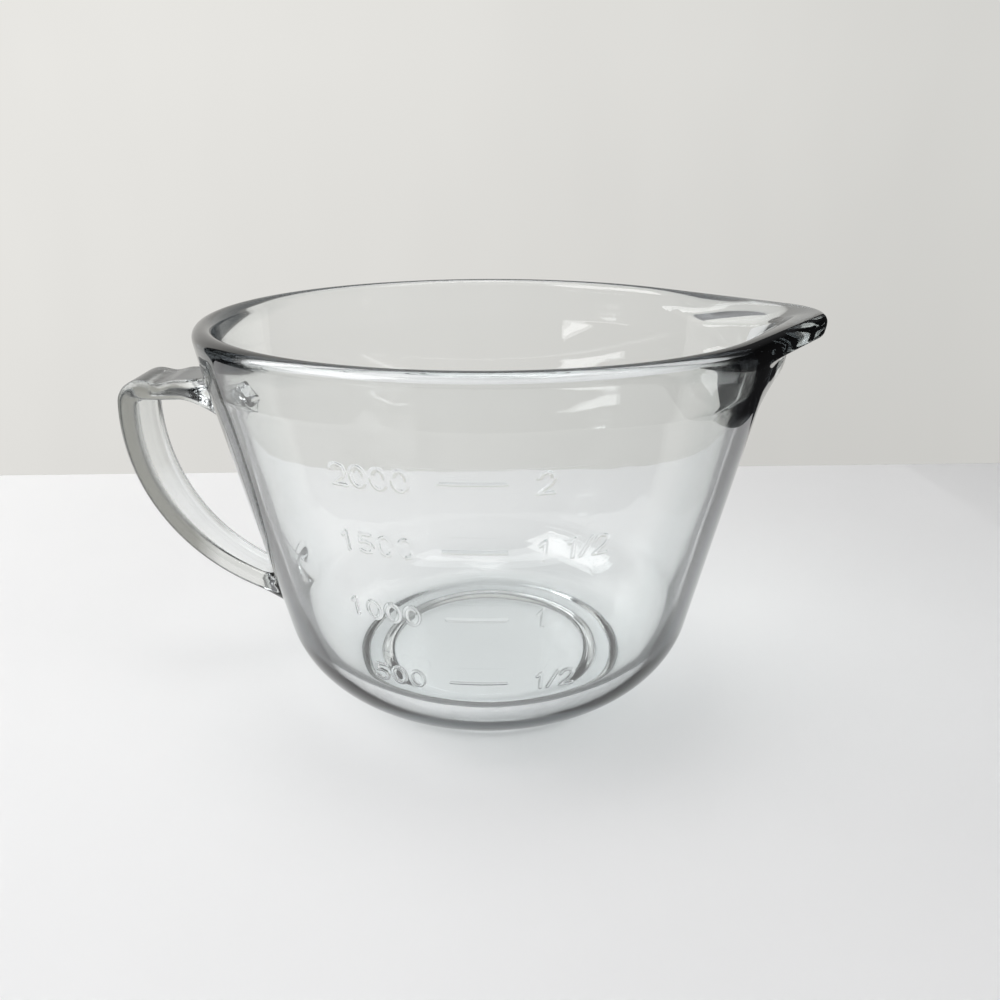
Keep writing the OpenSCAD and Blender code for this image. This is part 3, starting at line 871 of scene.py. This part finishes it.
def pressed_glass(look):
    """Clear soda-lime glass with a faint blue-grey body, the slow waves of pressing, and painted shade
    towards its edges and on the strap's side.
    """
    material, tree = new_material("pressed_glass")
    link = tree.links.new
    place = node(tree, "ShaderNodeTexCoord").outputs["Object"]
    normal = node(tree, "ShaderNodeTexCoord").outputs["Normal"]
    at = parts_of(tree, place)
    where = {"whole": place, "X": at["X"], "Z": at["Z"]}
    glass = node(tree, "ShaderNodeBsdfPrincipled")
    glass.inputs["Transmission Weight"].default_value = 1.0
    glass.inputs["IOR"].default_value = look.refraction
    # Painted shade: the base colour darkens as a face is seen more edge-on, most in the heel and rim
    tones = [(edge_on, (0.98 * left, left, left)) for edge_on, left in EDGE_TONES]
    edges = ramp(
        tree, edge_darkness(tree, look, where, normal),
        (CLEAR_UNTIL, CLEAR_TONE), *tones, (DARK_FROM, look.edge_shade),
    )
    # Painted shade on the strap's side that is turned towards the camera
    strap = spread_over(tree, where["X"], 1, 0, *STRAP_X)
    turned = parts_of(tree, normal)["Y"]
    side = product(tree, spread_over(tree, turned, 1, 0, *STRAP_TURN), strap)
    link(multiplied(tree, side, edges, look.side_shade), glass.inputs["Base Color"])
    film = noise(tree, place, scale=45, detail=4)
    films = node(tree, "ShaderNodeMath", operation="MULTIPLY_ADD")
    link(strap, films.inputs[0])
    films.inputs[1].default_value = look.strap_film
    link(spread_over(tree, film.outputs["Fac"], 0, look.film), films.inputs[2])
    link(films.outputs["Value"], glass.inputs["Roughness"])
    waves = noise(tree, place, scale=26, detail=2, stretch=(1, 1, 0.55))
    bump = node(tree, "ShaderNodeBump", Strength=look.waviness, Distance=0.002)
    link(waves.outputs["Fac"], bump.inputs["Height"])
    link(bump.outputs["Normal"], glass.inputs["Normal"])
    shadow = node(tree, "ShaderNodeLightPath").outputs["Is Shadow Ray"]
    surface = mixed(tree, shadow, glass.outputs["BSDF"], light_through(tree, look, where))
    inside = node(tree, "ShaderNodeVolumeAbsorption")
    inside.inputs["Color"].default_value = (*look.tint, 1)
    inside.inputs["Density"].default_value = look.tint_depth
    out = node(tree, "ShaderNodeOutputMaterial")
    link(surface, out.inputs["Surface"])
    link(inside.outputs["Volume"], out.inputs["Volume"])
    return material


def painted_table(name, paint):
    """Pale laminate with faint cloudy wear."""
    material, tree = new_material(name)
    link = tree.links.new
    where = node(tree, "ShaderNodeTexCoord").outputs["Object"]
    top = node(tree, "ShaderNodeBsdfPrincipled", Roughness=0.55)
    cloud = noise(tree, where, scale=5, detail=5)
    mix = node(tree, "ShaderNodeMix", data_type="RGBA")
    mix.inputs[6].default_value = (*paint, 1)
    mix.inputs[7].default_value = (*(0.97 * c for c in paint), 1)
    link(spread_over(tree, cloud.outputs["Fac"], 0, 1), mix.inputs[0])
    link(mix.outputs[2], top.inputs["Base Color"])
    out = node(tree, "ShaderNodeOutputMaterial")
    link(top.outputs["BSDF"], out.inputs["Surface"])
    return material


def curtain_cloth(look):
    """Pale cloth with painted daylight on its left and painted shade to the right, lower down and in its
    folds, shown as bright as it looks through the glass too.
    """
    material, tree = new_material("curtain_cloth")
    link = tree.links.new
    where = node(tree, "ShaderNodeTexCoord").outputs["Object"]
    at = parts_of(tree, where)
    side = spread_over(tree, at["X"], 0, 1, *CURTAIN_X)
    tones = ramp(tree, side, (0, look.curtain_lit_left), (1, look.curtain_shaded_right))
    cloud = noise(tree, where, scale=6, detail=3, stretch=(1, 1, 0.35))
    # Painted shade: darker towards the bottom of the curtain, a little lighter at the top
    painted_height_shade = spread_over(tree, at["Z"], 0.9, 1.03, *CURTAIN_Z)
    # Painted shade of the folds: vertical streaks of noise darken and lighten the cloth
    folds = spread_over(tree, cloud.outputs["Fac"], 0.965, 1.02)
    shaded = node(tree, "ShaderNodeVectorMath", operation="SCALE")
    link(tones, shaded.inputs[0])
    link(product(tree, painted_height_shade, folds), shaded.inputs["Scale"])
    glow = node(tree, "ShaderNodeEmission")
    link(shaded.outputs["Vector"], glow.inputs["Color"])
    cloth = node(tree, "ShaderNodeBsdfDiffuse")
    link(shaded.outputs["Vector"], cloth.inputs["Color"])
    rays = node(tree, "ShaderNodeLightPath").outputs
    # Painted light: the curtain glows brighter for rays that come through the glass
    link(spread_over(tree, rays["Is Transmission Ray"], 1, look.lift, 0, 1), glow.inputs["Strength"])
    seen = largest(tree, rays["Is Camera Ray"], rays["Is Transmission Ray"], rays["Is Glossy Ray"])
    out = node(tree, "ShaderNodeOutputMaterial")
    link(mixed(tree, seen, cloth.outputs["BSDF"], glow.outputs["Emission"]), out.inputs["Surface"])
    return material


def put_in_scene(name, mesh, material):
    made = bpy.data.objects.new(name, mesh)
    mesh.materials.append(material)
    bpy.context.scene.collection.objects.link(made)
    return made


def soft_lamp(name, at, towards, size, watts):
    lamp = bpy.data.lights.new(name, "AREA")
    lamp.shape = "RECTANGLE"
    lamp.size, lamp.size_y = size
    lamp.energy = watts
    made = bpy.data.objects.new(name, lamp)
    made.location = at
    made.rotation_euler = (Vector(towards) - Vector(at)).to_track_quat("-Z", "Y").to_euler()
    bpy.context.scene.collection.objects.link(made)


def photo_camera(lens):
    """The camera that took the photograph, worked out from the bowl's rim and sides."""
    camera = bpy.data.cameras.new("camera")
    camera.lens = lens
    camera.sensor_width = 36
    camera.clip_start = 0.01
    made = bpy.data.objects.new("camera", camera)
    yaw, pitch, roll = (math.radians(degrees) for degrees in CAMERA_TURN)
    ahead = Vector((math.sin(yaw) * math.cos(pitch), math.cos(yaw) * math.cos(pitch), -math.sin(pitch)))
    right = ahead.cross(Vector((0, 0, 1))).normalized()
    up = right.cross(ahead)
    turned = right * math.cos(roll) - up * math.sin(roll)
    raised = right * math.sin(roll) + up * math.cos(roll)
    basis = Matrix((turned, raised, -ahead)).transposed()
    made.matrix_world = Matrix.Translation(CAMERA_AT) @ basis.to_4x4()
    bpy.context.scene.collection.objects.link(made)
    bpy.context.scene.camera = made


def room_light():
    """Dim room behind the camera, pale ceiling above."""
    world = bpy.data.worlds.new("room")
    bpy.context.scene.world = world
    world.use_nodes = True
    tree = world.node_tree
    tree.nodes.clear()
    link = tree.links.new
    where = node(tree, "ShaderNodeTexCoord").outputs["Generated"]
    height = spread_over(tree, parts_of(tree, where)["Z"], 0, 1, -1, 1)
    tones = ramp(tree, height, *ROOM_TONES)
    back = node(tree, "ShaderNodeBackground", Strength=1.0)
    link(tones, back.inputs["Color"])
    out = node(tree, "ShaderNodeOutputWorld")
    link(back.outputs["Background"], out.inputs["Surface"])


def sheet_mesh(name, points):
    """A sheet through a grid of points."""
    shell = Shell()
    shell.sheet(shell.add(points))
    mesh = bpy.data.meshes.new(name)
    mesh.from_pydata(np.concatenate(shell.points).tolist(), [], shell.faces)
    return mesh


def curtain_mesh(depth, left, right):
    """A curtain that hangs behind the table in slow folds."""
    across, up = np.linspace(-left, right, 61), np.linspace(CURTAIN_FOOT, CURTAIN_TOP, 21)
    x, z = np.meshgrid(across, up)
    folds = 0.012 * np.sin(9 * x + 0.8 * z) + 0.007 * np.sin(21 * x - 1.6 * z + 1)
    y = depth + folds * (0.4 + 0.6 * smooth(z + 0.5))
    mesh = sheet_mesh("curtain", np.stack([x, y, z], -1))
    mesh.shade_smooth()
    return mesh


def table_mesh(depth, left, right, front):
    """A table top whose rounded back edge drops away towards the curtain."""
    strip, rounding = 3 * TABLE_ROUNDING, TABLE_ROUNDING
    edge = [(-front, 0.0)] + [(depth - strip + strip * k / 8, 0.0) for k in range(8)]
    for a in np.linspace(0, math.pi / 2, 7):
        edge.append((depth + rounding * math.sin(a), -rounding + rounding * math.cos(a)))
    edge.append((depth + rounding, -TABLE_DROP))
    x = np.linspace(-left, right, 9)
    return sheet_mesh("table", np.array([[(u, y, z) for u in x] for y, z in edge]))


# Operators

class MakeGlassBowl(bpy.types.Operator):
    """Build the bowl with its foot, rim, spout, handle and graduations as one skin of glass"""

    bl_idname = "batter_bowl.make_glass"
    bl_label = "Glass bowl"

    def execute(self, context):
        props = context.scene.batter_bowl
        bowl = put_in_scene("glass_bowl", glass_mesh(props), pressed_glass(props.glass))
        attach(bowl, "root")
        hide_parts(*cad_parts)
        return {"FINISHED"}


class MakeStudio(bpy.types.Operator):
    """Set up the pale table, the curtain, the lamps and the camera"""

    bl_idname = "batter_bowl.make_studio"
    bl_label = "Table, curtain and light"

    def execute(self, context):
        look = context.scene.batter_bowl.studio
        depth, half = look.table_depth, look.half_width
        cloth = curtain_cloth(look)
        for name, left, right, front, drop, lift, in_glass in (
            ("", half, half, TABLE_FRONT, PAIRS_APART, 1, False),
            ("_in_glass", look.sheet_left, look.sheet_right, look.sheet_front, 0, look.lift, True),
        ):
            # The pair that shows only in the glass is painted brighter: painted light
            paint = painted_table("pale_table" + name, [lift * c for c in look.table])
            table = put_in_scene("table" + name, table_mesh(depth, left, right, front), paint)
            hanging = curtain_mesh(depth + CURTAIN_GAP, left, right)
            curtain = put_in_scene("curtain" + name, hanging, cloth)
            for sheet in (table, curtain):
                sheet.visible_camera = sheet.visible_diffuse = not in_glass
                sheet.visible_transmission = sheet.visible_glossy = in_glass
                sheet.visible_shadow = False
                sheet.location.z = -drop
        room_light()
        photo_camera(look.lens)
        for lamp in LAMPS:
            soft_lamp(*lamp)
        context.scene.view_settings.view_transform = "Standard"
        return {"FINISHED"}


class BatterBowlPanel(bpy.types.Panel):
    """Sizes and finishes of the batter bowl"""

    bl_idname = "VIEW3D_PT_batter_bowl"
    bl_label = "Batter Bowl"
    bl_space_type = "VIEW_3D"
    bl_region_type = "UI"
    bl_category = "Batter Bowl"

    def draw(self, context):
        props = context.scene.batter_bowl
        for title, group in (
            ("Bowl", props.bowl), ("Spout", props.spout), ("Handle", props.handle),
            ("Graduations", props.marks), ("Glass", props.glass),
        ):
            self.show(title, group)
        self.layout.operator(MakeGlassBowl.bl_idname)
        self.show("Studio", props.studio)
        self.layout.operator(MakeStudio.bl_idname)

    def show(self, title, group):
        box = self.layout.box()
        box.label(text=title)
        for name in group.__annotations__:
            box.prop(group, name)


CLASSES = (
    BowlSizes, SpoutSizes, HandleSizes, MarkSizes, GlassLook, StudioLook, BatterBowl,
    MakeGlassBowl, MakeStudio, BatterBowlPanel,
)


def register():
    for kind in CLASSES:
        bpy.utils.register_class(kind)
    bpy.types.Scene.batter_bowl = PointerProperty(type=BatterBowl)


def unregister():
    del bpy.types.Scene.batter_bowl
    for kind in reversed(CLASSES):
        bpy.utils.unregister_class(kind)


def main():
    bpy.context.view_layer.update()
    register()
    bpy.ops.batter_bowl.make_glass()
    bpy.ops.batter_bowl.make_studio()


if __name__ == "__main__":
    main()
